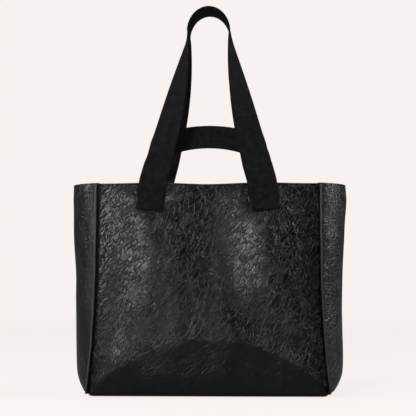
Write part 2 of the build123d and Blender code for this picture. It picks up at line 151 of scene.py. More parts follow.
def leather_relief(wall, along, z):
    """How far the slumped leather stands out from its pattern."""
    reach = body_form(z)[0] if wall in ("front", "back") else GUSSET_REACH
    from_seam = (1 - abs(along)) * reach
    fade = smooth_step(min(from_seam, z, BAG_HEIGHT - z + 0.01) / 0.035)
    seed = ("front", "right", "back", "left").index(wall) * 7.3
    spot = Vector((along * reach * 16, z * 11, seed))
    relief = DENT * fade * (1 + noise.noise(spot) + 0.4 * noise.noise(spot * 2.3))
    if wall in ("front", "back"):
        rise = above_fold(along, z)
        width = 0.034 if rise > 0 else 0.020
        relief += BELLY_FOLD * exp(-(rise / width) ** 2) * smooth_step(from_seam / 0.02)
        drag = sin(2 * pi * (along * reach + DRAG_START) / DRAG_PITCH)
        relief += HANDLE_DRAG * fade * (1 + drag) * smooth_step((rise + 0.01) / 0.09)
        upright = exp(-((along * reach - PULL_AT) / PULL_WIDTH) ** 2)
        relief += HANDLE_PULL * fade * upright * smooth_step((rise - 0.03) / 0.06)
        from_handle = (abs(along) * reach - HANDLE_SPREAD) / SEWN_WIDTH
        relief *= 1 - 0.8 * exp(-from_handle ** 2) * smooth_step((z - 0.250) / 0.040)
    return relief - SEAM_PULL * exp(-(from_seam / SEAM_PULL_WIDTH) ** 2)


def facing_relief(wall, along, z):
    """The facing follows the leather at the rim and hangs straight at its lower edge."""
    fade = smooth_step((z - FACING_LOW) / (BAG_HEIGHT - FACING_LOW))
    return leather_relief(wall, along, z) * fade


def no_relief(wall, along, z):
    """A sheet that hangs straight."""
    return 0.0


def rim_dip(wall, along, z):
    """How far the soft rim sags between the seams and the handles."""
    dip = RIM_DIP * (1 + cos(2 * pi * along)) * (1 - 0.6 * abs(along))
    if wall in ("left", "right"):
        dip = 0.4 * RIM_DIP * (1 - abs(along))
    return dip * (z / BAG_HEIGHT) ** 6


def add_node(tree, kind, inputs=(), **settings):
    """A shader node with its settings made and its inputs set or linked."""
    node = tree.nodes.new("ShaderNode" + kind)
    for key, value in settings.items():
        setattr(node, key, value)
    for key, value in dict(inputs).items():
        if isinstance(value, bpy.types.NodeSocket):
            tree.links.new(value, node.inputs[key])
        else:
            node.inputs[key].default_value = value
    return node


def new_finish(name, roughness, metallic=0.0):
    """A material, its node tree and its shader."""
    material = bpy.data.materials.new(name)
    material.use_nodes = True
    tree = material.node_tree
    shader = tree.nodes["Principled BSDF"]
    shader.inputs["Roughness"].default_value = roughness
    shader.inputs["Metallic"].default_value = metallic
    return material, tree, shader


def ramp(tree, value, low, high, start=0.0, end=1.0):
    """A value eased from one range to another."""
    node = add_node(tree, "MapRange", {0: value, 1: low, 2: high, 3: start, 4: end},
                    interpolation_type="SMOOTHSTEP")
    return node.outputs[0]


def tone(tree, share, dark, light):
    """A colour between a dark and a light one."""
    node = add_node(tree, "MixRGB", {"Fac": share, "Color1": (*dark, 1), "Color2": (*light, 1)})
    return node.outputs[0]


def sums(tree, operation, first, second):
    """Two values added, multiplied or compared."""
    return add_node(tree, "Math", {0: first, 1: second}, operation=operation).outputs[0]


CREASE_TURN = radians(52)    # the creases run up to the right
CREASE_DRIFT = (0.0045,) * 3
CREASE_DRAW = (0.36, 0.8, 1)
STREAK_DRAW = (0.18, 0.8, 1)


def leather_finish(name, crackle):
    """Black finished leather whose surface has cracked into fine diagonal creases."""
    material, tree, shader = new_finish(name, 0.4)
    place = add_node(tree, "TexCoord").outputs["Object"]
    drift = add_node(tree, "TexNoise", {"Vector": place, "Scale": 80, "Detail": 3})
    bent = add_node(tree, "VectorMath", {0: drift.outputs["Color"], 1: CREASE_DRIFT, 2: place},
                    operation="MULTIPLY_ADD").outputs[0]
    slow = add_node(tree, "TexNoise", {"Vector": place, "Scale": 14, "Detail": 2}).outputs[0]
    turned = add_node(tree, "VectorRotate", {"Vector": bent, "Angle": CREASE_TURN},
                      rotation_type="Y_AXIS").outputs[0]
    drawn = add_node(tree, "Mapping", {"Vector": turned, "Scale": CREASE_DRAW}).outputs[0]
    streaked = add_node(tree, "Mapping", {"Vector": turned, "Scale": STREAK_DRAW}).outputs[0]

    def creases(vector, scale, width, low, high):
        """The edges of cells of one size, in patches that fade in from low to high."""
        edge = add_node(tree, "TexVoronoi", {"Vector": vector, "Scale": scale},
                        feature="DISTANCE_TO_EDGE").outputs["Distance"]
        patchy = add_node(tree, "TexNoise", {"Vector": place, "Scale": scale / 4, "Detail": 2})
        return sums(tree, "MULTIPLY", ramp(tree, edge, 0.0, width, 1.0, 0.0),
                    ramp(tree, patchy.outputs[0], low, high))

    wide = creases(drawn, 215, 0.070, 0.34, 0.56)
    fine = creases(drawn, 350, 0.090, 0.32, 0.60)
    long = creases(streaked, 150, 0.070, 0.36, 0.54)
    lines = sums(tree, "MAXIMUM", wide, sums(tree, "MULTIPLY", fine, 0.7))
    lines = sums(tree, "MAXIMUM", lines, long)
    creased = add_node(tree, "Attribute", attribute_name="creased").outputs["Fac"]
    lines = sums(tree, "MULTIPLY", lines, creased)
    grain = add_node(tree, "TexNoise", {"Vector": place, "Scale": 900, "Detail": 2}).outputs[0]
    blotch = add_node(tree, "TexNoise", {"Vector": bent, "Scale": 150, "Detail": 3}).outputs[0]
    # Painted highlight, in part: the crease lines are coloured lighter than the leather, partly
    # the leather's own paler creases and partly painted glints standing in for the light that the
    # crease ridges catch.
    shade = sums(tree, "MULTIPLY", lines, crackle)
    base = tone(tree, ramp(tree, blotch, 0.35, 0.7),
                (0.0018, 0.0018, 0.0019), (0.0060, 0.0058, 0.0060))
    colour = add_node(tree, "MixRGB", {"Fac": shade, "Color1": base,
                                       "Color2": (0.055, 0.054, 0.055, 1)}).outputs[0]
    tree.links.new(colour, shader.inputs["Base Color"])
    rough = sums(tree, "ADD", ramp(tree, slow, 0.35, 0.65, 0.21, 0.25),
                 sums(tree, "MULTIPLY", shade, 0.10))
    tree.links.new(rough, shader.inputs["Roughness"])
    relief = sums(tree, "ADD", sums(tree, "MULTIPLY", lines, crackle),
                  sums(tree, "ADD", sums(tree, "MULTIPLY", grain, 0.22),
                       sums(tree, "MULTIPLY", blotch, 0.09)))
    bump = add_node(tree, "Bump", {"Height": relief, "Strength": 1.0, "Distance": 0.0010})
    tree.links.new(bump.outputs[0], shader.inputs["Normal"])
    return material


crackled_leather = leather_finish("crackled_leather", 0.75)
smooth_leather = leather_finish("smooth_leather", 0.3)


def settle(name, mesh, material, body="bag"):
    """Turns a bmesh into a finished piece that rides on a body."""
    data = bpy.data.meshes.new(name)
    mesh.to_mesh(data)
    mesh.free()
    data.materials.append(material)
    data.shade_smooth()
    piece = bpy.data.objects.new(name, data)
    scene.collection.objects.link(piece)
    if body:
        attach(piece, body)
    return piece


def shaped_grid(columns, rows, corner, cloth, closed=False):
    """A grid bent to shape: corner(u, v) places each point, cloth is its flat size."""
    mesh = bmesh.new()
    flat = mesh.loops.layers.uv.new("UVMap")
    bmesh.ops.create_grid(mesh, x_segments=columns, y_segments=rows, size=0.5, calc_uvs=True)
    for vertex in mesh.verts:
        vertex.co = corner(vertex.co.x + 0.5, vertex.co.y + 0.5)
    for face in mesh.faces:
        for loop in face.loops:
            loop[flat].uv = (loop[flat].uv.x * cloth[0], loop[flat].uv.y * cloth[1])
    if closed:
        bmesh.ops.remove_doubles(mesh, verts=mesh.verts, dist=1e-6)
        bmesh.ops.holes_fill(mesh, edges=mesh.edges, sides=0)
        bmesh.ops.recalc_face_normals(mesh, faces=mesh.faces)
    return mesh


def thicken(piece, thickness, rounding=0.0):
    """Gives a sheet its thickness, inwards, and rounds its cut edges."""
    solid = piece.modifiers.new("thickness", "SOLIDIFY")
    solid.thickness = thickness
    solid.offset = -1
    if rounding:
        bevel = piece.modifiers.new("cut_edges", "BEVEL")
        bevel.width = rounding
        bevel.segments = 2
        bevel.angle_limit = radians(60)


def wall_sheet(name, wall, low, high, inset, material, columns, rows,
               span=1.0, ripple=0.0, relief=no_relief):
    """A sheet that follows a wall, a given distance inside the leather.

    Its columns lie closer together towards the seams, and "creased" says how crackled it is.
    """
    half = body_form(low)[0] if wall in ("front", "back") else GUSSET_FLAT_HALF
    width = 2 * span * half

    def corner(u, v):
        along = span * (2 * u - 1 + 0.6 * sin(2 * pi * (u - 0.5)) / pi * span ** 4)
        z = low + (high - low) * v
        place, outward = wall_place(wall, along, z, inset)
        place += outward * relief(wall, along, z)
        if ripple:
            slack = 1 + noise.noise(Vector((along * 9, z * 17, inset * 900)))
            place -= outward * ripple * slack
        place.z -= rim_dip(wall, along, z)
        return place

    mesh = shaped_grid(columns, rows, corner, (width, high - low))
    piece = settle(name, mesh, material)
    creased = piece.data.attributes.new("creased", "FLOAT", "POINT")
    for vertex, value in zip(piece.data.vertices, creased.data):
        reach = abs(vertex.co.x) / body_form(vertex.co.z)[0]
        value.value = 0.35
        if wall in ("front", "back"):
            rise = above_fold(reach, vertex.co.z) + 0.004
            value.value = 0.12 + 0.88 * smooth_step(rise / 0.012)
    return piece


WALLS = ("front", "right", "back", "left")
for wall in WALLS:
    panel = wall in ("front", "back")
    columns, rows = (150, 140) if panel else (64, 140)
    piece = wall_sheet(wall + "_leather", wall, BASE_TURN, BAG_HEIGHT, 0.0,
                       crackled_leather, columns, rows, relief=leather_relief)
    thicken(piece, LEATHER, 0.0005)
    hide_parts(wall + ("_panel" if panel else "_gusset"))


# Base: one leather piece, its edge turned up all round in a soft radius to meet the walls.
# A stiff fibre board lies on it, under the lining.
BASE_RINGS = ((0.0078, 0.0030), (0.0056, 0.0021), (0.0038, 0.0024), (0.0020, 0.0038),
              (0.0008, 0.0060), (0.0002, 0.0085), (0.0, 0.0110), (0.0, 0.020))


def outline_corner(share, z, inset):
    """A point on the bag's outline; share runs once round from 0 to 1."""
    wall = WALLS[int(share * 4) % 4]
    return wall_place(wall, 2 * (share * 4 % 1) - 1, z, inset)[0]


def base_corner(u, v):
    """A point on the turned-up edge, whose rings are a height and an inset each."""
    return outline_corner(u % 1.0, *BASE_RINGS[round(v * (len(BASE_RINGS) - 1))])


mesh = shaped_grid(224, len(BASE_RINGS) - 1, base_corner, (1.05, 0.04))
bmesh.ops.remove_doubles(mesh, verts=mesh.verts, dist=1e-6)
floor_ring = [edge for edge in mesh.edges
              if edge.is_boundary and edge.verts[0].co.z < 1e-5]
bmesh.ops.holes_fill(mesh, edges=floor_ring, sides=0)
bmesh.ops.recalc_face_normals(mesh, faces=mesh.faces)
if sum(face.normal.z * face.calc_area() for face in mesh.faces) > 0:
    bmesh.ops.reverse_faces(mesh, faces=mesh.faces)
base = settle("base_leather", mesh, smooth_leather)
thicken(base, LEATHER)
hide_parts("base_panel")

board_finish, tree, shader = new_finish("fibre_board", 0.8)
place = add_node(tree, "TexCoord").outputs["Object"]
fibres = add_node(tree, "TexNoise", {"Vector": place, "Scale": 400, "Detail": 4}).outputs[0]
colour = tone(tree, fibres, (0.05, 0.048, 0.045), (0.12, 0.115, 0.11))
tree.links.new(colour, shader.inputs["Base Color"])


def refinish(material, *names):
    """Gives carried-over CAD nodes a finish."""
    for name in names:
        data = nodes[name].data
        if data.materials:
            for index in range(len(data.materials)):
                data.materials[index] = material
        else:
            data.materials.append(material)


refinish(board_finish, "base_board")


# Corner seams: the panel and gusset edges stand proud, leaning to the side, stitched through.
# Their raw edges are sealed with a bead of glossy black edge paint, coloured lighter than the
# leather as a painted highlight for the light that the edge catches.
SEAM_THICKNESS = 0.0030
SEAM_LEAN = radians(30)
AHEAD = Vector((sin(SEAM_LEAN), -cos(SEAM_LEAN), 0))
ACROSS = Vector((cos(SEAM_LEAN), sin(SEAM_LEAN), 0))
SEAM_ROOT = (0.0002, 0.0013)  # the seam's foot, outside the corner of the body's form
RIDGE_LOW = 0.0046
RIDGE_HIGH = BAG_HEIGHT - 0.0012
STITCH_PITCH = 0.0033
SEAM_STITCHES = (0.006, 0.300)  # the lowest stitch and the length of the row
STITCHES_AHEAD = 0.0024

edge_paint_and_highlight, tree, shader = new_finish("edge_paint_and_highlight", 0.34)
place = add_node(tree, "TexCoord").outputs["Object"]
drips = add_node(tree, "TexNoise", {"Vector": place, "Scale": 160, "Detail": 3}).outputs[0]
# Painted highlight: the bead is coloured lighter than the leather, standing in for the light its
# edge catches; the noise is the paint's own uneven tone.
colour = tone(tree, drips, (0.020, 0.0195, 0.020), (0.060, 0.058, 0.058))
tree.links.new(colour, shader.inputs["Base Color"])
bump = add_node(tree, "Bump", {"Height": drips, "Strength": 0.4, "Distance": 0.0005})
tree.links.new(bump.outputs[0], shader.inputs["Normal"])

thread_finish, tree, shader = new_finish("black_thread_and_groove_shade", 0.7)
shader.inputs["Specular IOR Level"].default_value = 0.02
place = add_node(tree, "TexCoord").outputs["Object"]
twist = add_node(tree, "TexWave", {"Vector": place, "Scale": 900, "Distortion": 1.0},
                 bands_direction="DIAGONAL").outputs["Fac"]
# Painted shade, in part: the thread is black, and its colour is taken darker than the webbing to
# stand in for the shade in the grooves the stitches sink into.
colour = tone(tree, twist, (0.0002, 0.0002, 0.0003), (0.0020, 0.0020, 0.0022))
tree.links.new(colour, shader.inputs["Base Color"])


def sew_row(mesh, place, length, pitch=STITCH_PITCH, thread=0.00045):
    """A row of stitches along place(share), which gives a point and the way it faces."""
    row = bmesh.new()
    count = round(length / pitch)
    for index in range(count):
        start, outward = place((index + 0.12) / count)
        run = place((index + 0.88) / count)[0] - start
        along = run.normalized()
        sideways = outward.cross(along).normalized()
        turn = Matrix((along, sideways, along.cross(sideways))).transposed().to_4x4()
        size = Matrix.Diagonal((run.length / 2, thread, thread * 0.8, 1))
        bmesh.ops.create_uvsphere(row, u_segments=7, v_segments=4, radius=1,
                                  matrix=Matrix.Translation(start + run / 2) @ turn @ size)
    data = bpy.data.meshes.new("row")
    row.to_mesh(data)
    row.free()
    mesh.from_mesh(data)
    bpy.data.meshes.remove(data)


def seam_root(z):
    """The foot of the front right seam at a height."""
    half_width, half_depth, _, _ = body_form(z)
    return Vector((half_width + SEAM_ROOT[0], -half_depth - SEAM_ROOT[1], z))


def mirrored(point, side, face):
    """A point or direction of the front right quarter, carried to another quarter."""
    return Vector((point.x * side, point.y * face, point.z))


# Each section is a distance ahead of the seam's foot and a share of half its thickness.
RIDGE_SECTION = ((-0.0020, -1), (0.0015, -1), (0.0034, -1), (0.0040, -0.9), (0.0042, -0.1),
                 (0.0039, 0.0), (0.0042, 0.1), (0.0040, 0.9), (0.0034, 1), (0.0015, 1),
                 (-0.0020, 1))
BEAD_SECTION = ((0.0038, -0.98), (0.0043, -0.90), (0.0047, -0.55), (0.0046, -0.15),
                (0.0044, 0.0), (0.0046, 0.15), (0.0047, 0.55), (0.0043, 0.90), (0.0038, 0.98))
for face_name, face in (("front", 1), ("back", -1)):
    for side_name, side in (("left", -1), ("right", 1)):
        for kind, section, material in (("ridge", RIDGE_SECTION, smooth_leather),
                                        ("painted_edge", BEAD_SECTION, edge_paint_and_highlight)):
            def corner(u, v):
                z = RIDGE_LOW + (RIDGE_HIGH - RIDGE_LOW) * v
                ahead, across = section[round(u * len(section)) % len(section)]
                end = smooth_step(v / 0.03) * smooth_step((1 - v) / 0.012)
                sway = 0.0004 * noise.noise(Vector((z * 35, side * 3.1, face * 5.7)))
                point = seam_root(z) + AHEAD * (ahead * (0.55 + 0.45 * end))
                point += ACROSS * (across * SEAM_THICKNESS / 2 + sway)
                return mirrored(point, side, face)

            mesh = shaped_grid(len(section), 110, corner, (0.015, BAG_HEIGHT), closed=True)
            piece = settle(f"{kind}_{face_name}_{side_name}", mesh, material)
            if kind == "ridge":
                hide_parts(f"seam_{face_name}_{side_name}")

mesh = bmesh.new()
for face in (1, -1):
    for side in (-1, 1):
        for cheek in (-1, 1):
            def seam_line(share):
                z = SEAM_STITCHES[0] + SEAM_STITCHES[1] * share
                outward = ACROSS * cheek
                point = seam_root(z) + AHEAD * STITCHES_AHEAD + outward * (SEAM_THICKNESS / 2)
                return mirrored(point, side, face), mirrored(outward, side, face)

            sew_row(mesh, seam_line, SEAM_STITCHES[1])
settle("seam_stitches", mesh, thread_finish)


# Rim: a leather facing lies against the inside of the walls, topstitched through both layers
# close to the edge and again along its lower edge.
FACING = 0.0024
RIM_STITCH = BAG_HEIGHT - 0.0024
FACING_STITCH = FACING_LOW + 0.003
GUSSET_RIM_LENGTH = 0.165
RIM_ROW = 0.985              # share of a wall that a row crosses between its seams
for wall in WALLS:
    columns = 90 if wall in ("front", "back") else 48
    piece = wall_sheet("facing_" + wall + "_leather", wall, FACING_LOW, BAG_HEIGHT,
                       LEATHER + 0.0001, smooth_leather, columns, 20,
                       relief=facing_relief)
    thicken(piece, FACING, 0.0004)
    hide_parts("facing_" + wall)

mesh = bmesh.new()
for wall in WALLS:
    length = RIM_SEAM_WIDTH if wall in ("front", "back") else GUSSET_RIM_LENGTH
    for inset, z, inside, relief in ((0.0, RIM_STITCH, 1, leather_relief),
                                     (LEATHER + FACING, RIM_STITCH, -1, facing_relief),
                                     (LEATHER + FACING, FACING_STITCH, -1, facing_relief)):
        def rim_line(share):
            along = RIM_ROW * (2 * share - 1)
            place, outward = wall_place(wall, along, z, inset)
            place += outward * relief(wall, along, z)
            place.z -= rim_dip(wall, along, z)
            return place, outward * inside

        sew_row(mesh, rim_line, length)
settle("rim_stitches", mesh, thread_finish)


# Lining: charcoal twill, sewn under the facing all round and to a floor piece at the base.
# It hangs slightly slack against the leather.
LINING_INSET = 0.0038
LINING = 0.0006
LINING_FLOOR = 0.0046
lining_cloth, tree, shader = new_finish("lining_twill", 0.85)
cloth = add_node(tree, "TexCoord").outputs["UV"]
ribs = add_node(tree, "TexWave", {"Vector": cloth, "Scale": 420, "Distortion": 0.3, "Detail": 1},
                bands_direction="DIAGONAL").outputs["Fac"]
slubs = add_node(tree, "TexNoise", {"Vector": cloth, "Scale": 90, "Detail": 3}).outputs[0]
weave = sums(tree, "ADD", sums(tree, "MULTIPLY", ribs, 0.7), sums(tree, "MULTIPLY", slubs, 0.5))
colour = tone(tree, weave, (0.022, 0.022, 0.025), (0.075, 0.075, 0.080))
tree.links.new(colour, shader.inputs["Base Color"])
shader.inputs["Sheen Weight"].default_value = 0.2
bump = add_node(tree, "Bump", {"Height": ribs, "Strength": 0.5, "Distance": 0.0003})
tree.links.new(bump.outputs[0], shader.inputs["Normal"])

ZIP_HEIGHT = 0.188
ZIP_LENGTH = 0.190
ZIP_WINDOW = 0.012
BASE_CLOTH_HALF = 0.17675
BASE_CLOTH_INSET = 0.0046
BASE_CLOTH_CORNER = 0.1708   # from here outwards the base lining narrows at its corners
for wall in WALLS:
    panel = wall in ("front", "back")
    piece = wall_sheet("lining_" + wall + "_cloth", wall, LINING_FLOOR, FACING_LOW + 0.001,
                       LINING_INSET, lining_cloth, 96 if panel else 40, 67,
                       ripple=0.0004)
    if wall == "back":
        mesh = bmesh.new()
        mesh.from_mesh(piece.data)
        window = [face for face in mesh.faces
                  if abs(face.calc_center_median().x) < ZIP_LENGTH / 2
                  and abs(face.calc_center_median().z - ZIP_HEIGHT) < ZIP_WINDOW / 2]
        bmesh.ops.delete(mesh, geom=window, context="FACES")
        mesh.to_mesh(piece.data)
        mesh.free()
    thicken(piece, LINING)
    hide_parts("lining_" + wall)


def floor_corner(u, v):
    """A place on the base lining, from the front edge back to the back edge."""
    x = (2 * u - 1) * BASE_CLOTH_HALF
    reach = min(1.0, abs(x) / BASE_CLOTH_CORNER)
    _, half_depth, _, panel_bow = body_form(LINING_FLOOR)
    deep = half_depth - BASE_CLOTH_INSET + panel_bow * (1 - reach ** 2)
    if abs(x) > BASE_CLOTH_CORNER:
        past = (abs(x) - BASE_CLOTH_CORNER) / (BASE_CLOTH_HALF - BASE_CLOTH_CORNER)
        deep *= 1 - 0.55 * past
    slack = 0.0005 * (1 + noise.noise(Vector((x * 20, v * 5, 3.3))))
    return Vector((x, deep * (2 * v - 1), LINING_FLOOR + slack))


mesh = shaped_grid(120, 50, floor_corner, (2 * BASE_CLOTH_HALF, 0.1430))
piece = settle("lining_base_cloth", mesh, lining_cloth)
thicken(piece, -LINING)
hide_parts("lining_base")


# Handle webbing: black woven straps 40 mm wide with a firm rolled selvedge on both edges.
# Each long handle is one strap, folded double where it is sewn to the panel at both ends.
WEBBING_WIDTH = 0.040
WEBBING = 0.0016
LONG_PULL_X = 0.0455         # the bow of the leg, seen from the front
LONG_PULL_Z = 0.427
LONG_LEG = 0.233             # length from the rim to the arch
LONG_ARCH_HALF = 0.0318
LONG_ARCH_BASE = 0.5345
LONG_ARCH_RISE = 0.0380
LONG_ARCH = 0.055            # length of half the arch
LONG_TWIST = 88.0            # degrees that the leg turns up to the arch
LONG_TWIST_EASE = 9.5        # and how much of it waits for the upper half
LONG_PIVOT_Y = -0.074239
LONG_TOP_Y = -0.021
BACK_LIFT = 0.0025           # the back handle's arch stands a little higher
END_SPLAY = radians(5)
END_TOP = 0.3082
END_DROP = 0.038
WEBBING_STEP = 0.0018
# Soft waves across the lower legs: height of the wave, its width and how far it stands out.
LEG_WAVES = ((0.330, 0.008, 0.0016), (0.347, 0.008, -0.0010), (0.367, 0.009, 0.0015))

webbing_cloth, tree, shader = new_finish("woven_webbing", 0.62)
cloth = add_node(tree, "TexCoord").outputs["UV"]
over = add_node(tree, "TexWave", {"Vector": cloth, "Scale": 250, "Distortion": 0.4},
                bands_direction="X").outputs["Fac"]
under = add_node(tree, "TexWave", {"Vector": cloth, "Scale": 330, "Distortion": 0.4},
                 bands_direction="Y").outputs["Fac"]
squares = add_node(tree, "TexChecker", {"Vector": cloth, "Scale": 790}).outputs["Fac"]
weave = add_node(tree, "MixRGB", {"Fac": squares, "Color1": over, "Color2": under}).outputs[0]
wear = add_node(tree, "TexNoise", {"Vector": cloth, "Scale": 110, "Detail": 4,
                                   "Roughness": 0.7}).outputs[0]
shade = sums(tree, "ADD", sums(tree, "MULTIPLY", weave, 0.35),
             ramp(tree, wear, 0.30, 0.70, 0.08, 0.50))
colour = tone(tree, shade, (0.0007, 0.0007, 0.0008), (0.0240, 0.0237, 0.0240))
tree.links.new(colour, shader.inputs["Base Color"])
shader.inputs["Specular IOR Level"].default_value = 0.10
bump = add_node(tree, "Bump", {"Height": weave, "Strength": 0.6, "Distance": 0.00035})
tree.links.new(bump.outputs[0], shader.inputs["Normal"])

# The section is a share of the half width and of the half thickness, thicker at the selvedges.
FACE_STEPS = 16
STRAP_SECTION = []
for turned in (1, -1):
    for step in range(FACE_STEPS + 1):
        share = 1 - 2 * step / FACE_STEPS
        selvedge = 0.22 * exp(-((1 - abs(share)) / 0.05) ** 2)
        groove = 0.06 * exp(-((0.87 - abs(share)) / 0.04) ** 2)
        rolled = 1.0 + selvedge - groove
        STRAP_SECTION.append((turned * share * 0.982, turned * rolled))
    STRAP_SECTION.append((-turned * 0.996, turned * 0.55))
    STRAP_SECTION.append((-turned * 0.996, -turned * 0.55))


def strap(name, stations):
    """Webbing along stations, each a centre and the direction across its width."""
    count = len(stations)
    length = sum((stations[i + 1][0] - stations[i][0]).length for i in range(count - 1))

    def corner(u, v):
        index = round(v * (count - 1))
        centre, across = stations[index]
        ahead = stations[min(index + 1, count - 1)][0] - stations[max(index - 1, 0)][0]
        outward = across.cross(ahead).normalized()
        share, height = STRAP_SECTION[round(u * len(STRAP_SECTION)) % len(STRAP_SECTION)]
        return centre + across * (share * WEBBING_WIDTH / 2) + outward * (height * WEBBING / 2)

    girth = 2 * (WEBBING_WIDTH + WEBBING)
    mesh = shaped_grid(len(STRAP_SECTION), count - 1, corner, (girth, length), closed=True)
    return settle(name, mesh, webbing_cloth, body=None)


def eased(stations, first, passes):
    """Rounds a strap's path from a station onwards."""
    for _ in range(passes):
        new = list(stations)
        for index in range(max(first, 1), len(stations) - 1):
            before, here, after = stations[index - 1:index + 2]
            new[index] = ((before[0] + here[0] * 2 + after[0]) / 4,
                          (before[1] + here[1] * 2 + after[1]).normalized())
        stations = new
    return stations


def squared(stations):
    """Turns each direction across square to the strap's run."""
    result = []
    for index, (centre, across) in enumerate(stations):
        ahead = stations[min(index + 1, len(stations) - 1)][0] - stations[max(index - 1, 0)][0]
        ahead.normalize()
        result.append((centre, (across - ahead * across.dot(ahead)).normalized()))
    return result


def waved(stations, waves):
    """Lifts a strap off its path in short soft waves."""
    result = []
    for index, (centre, across) in enumerate(stations):
        ahead = stations[min(index + 1, len(stations) - 1)][0] - stations[max(index - 1, 0)][0]
        outward = across.cross(ahead).normalized()
        lift = sum(height * exp(-((centre.z - z) / width) ** 2) for z, width, height in waves)
        result.append((centre + outward * lift, across))
    return result


def patch_station(drop, lift):
    """The right-hand sewn end, a distance below its top and out from the panel."""
    x = HANDLE_SPREAD + drop * sin(END_SPLAY)
    z = END_TOP - drop * cos(END_SPLAY)
    along = x / body_form(z)[0]
    place, outward = wall_place("front", along, z)
    place += outward * (lift + leather_relief("front", along, z))
    return place, Vector((cos(END_SPLAY), outward.x * cos(END_SPLAY), sin(END_SPLAY)))


def long_half():
    """The right half of a long handle: sewn end, leg and arch."""
    path = []
    under, over = WEBBING * 0.5 + 0.0003, WEBBING * 1.5 + 0.0005
    for step in range(15):
        path.append(patch_station(0.0045 + 0.0021 * step, under))
    fold = END_DROP - 0.0012
    middle, radius = (under + over) / 2, (over - under) / 2
    for step in range(7):
        turn = pi * step / 6
        path.append(patch_station(fold + radius * sin(turn), middle - radius * cos(turn)))
    for step in range(1, 19):
        path.append(patch_station(fold - 0.0020 * step, over))
    bend = len(path) - 4
    rise = LONG_ARCH_BASE - BAG_HEIGHT
    steps = round(LONG_LEG / WEBBING_STEP)
    for step in range(1, steps + 1):
        share = step / steps
        low, middle_share, high = (1 - share) ** 2, 2 * share * (1 - share), share ** 2
        x = low * HANDLE_SPREAD + middle_share * LONG_PULL_X + high * LONG_ARCH_HALF
        z = low * BAG_HEIGHT + middle_share * LONG_PULL_Z + high * LONG_ARCH_BASE
        y = LONG_PIVOT_Y + (LONG_TOP_Y - LONG_PIVOT_Y) * (z - BAG_HEIGHT) / rise
        turn = radians(LONG_TWIST * share - LONG_TWIST_EASE * sin(pi * share))
        path.append((Vector((x, y, z)), Vector((cos(turn), sin(turn), 0))))
    steps = round(LONG_ARCH / WEBBING_STEP)
    for step in range(1, steps + 1):
        turn = pi / 2 * step / steps
        centre = Vector((LONG_ARCH_HALF * cos(turn), LONG_TOP_Y,
                         LONG_ARCH_BASE + LONG_ARCH_RISE * sin(turn)))
        path.append((centre, Vector((0, 1, 0))))
    return path, bend


half, bend = long_half()
other = [(mirrored(centre, -1, 1), mirrored(across, -1, 1)) for centre, across in half[:-1]]
loop = half + other[::-1]
last = len(loop) - bend
# Only the part between the two bends is rounded, so that the folds stay tight.
loop = loop[:bend] + eased(loop[bend - 1:last + 1], 1, 14)[1:-1] + loop[last:]
loop = waved(squared(loop), LEG_WAVES)
front = strap("long_front_strap", loop)
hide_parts("long_front_handle", "long_front_end_left", "long_front_end_right")
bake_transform(front)
back_loop = []
for centre, across in loop:
    lift = BACK_LIFT * smooth_step((centre.z - 0.42) / 0.11)
    back_loop.append((mirrored(centre, 1, -1) + Vector((0, 0, lift)), -mirrored(across, 1, -1)))
back = strap("long_back_strap", back_loop)
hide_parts("long_back_handle", "long_back_end_left", "long_back_end_right")
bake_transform(back)


# Short handles: the same webbing in two flat loops sewn inside the rim. The front one stands,
# leaning back between the long handles, and the back one is folded down inside the bag.
SHORT_SPREAD = 0.080
SHORT_RISE = 0.0804
SHORT_LEG_LEAN = radians(8)
SHORT_TWIST = radians(25)    # the legs turn edgeways as they round the corners
SHORT_CORNER = 0.036
SHORT_BAND_RADIUS = 0.160
SHORT_LEAN = radians(28)
SHORT_PIVOT_Y = -0.060491
INNER_END_INSET = 0.0055


def short_path():
    """The right half of a short handle, flat in its own plane: centre, outward ray and twist."""
    inward = Vector((-cos(SHORT_LEG_LEAN), -sin(SHORT_LEG_LEAN)))
    leg = Vector((-sin(SHORT_LEG_LEAN), cos(SHORT_LEG_LEAN)))
    band_centre = Vector((0, SHORT_RISE - SHORT_BAND_RADIUS))
    start = Vector((SHORT_SPREAD, 0)) + inward * SHORT_CORNER
    offset = start - band_centre
    along = offset.dot(leg)
    square = offset.length_squared - (SHORT_BAND_RADIUS - SHORT_CORNER) ** 2
    leg_length = -along + (along ** 2 - square) ** 0.5
    corner = start + leg * leg_length
    reach = atan2(corner.y - band_centre.y, corner.x)
    path = []
    for step in range(1, round(leg_length / WEBBING_STEP) + 1):
        share = step * WEBBING_STEP / leg_length
        place = Vector((SHORT_SPREAD, 0)) + leg * leg_length * share
        path.append((place, -inward, smooth_step(share)))
    steps = round(SHORT_CORNER * (reach - SHORT_LEG_LEAN) / WEBBING_STEP)
    for step in range(1, steps + 1):
        turn = SHORT_LEG_LEAN + (reach - SHORT_LEG_LEAN) * step / steps
        ray = Vector((cos(turn), sin(turn)))
        path.append((corner + ray * SHORT_CORNER, ray, 1 - smooth_step(step / steps)))
    steps = round(SHORT_BAND_RADIUS * (pi / 2 - reach) / WEBBING_STEP)
    for step in range(1, steps + 1):
        turn = reach + (pi / 2 - reach) * step / steps
        ray = Vector((cos(turn), sin(turn)))
        path.append((band_centre + ray * SHORT_BAND_RADIUS, ray, 0.0))
    return path


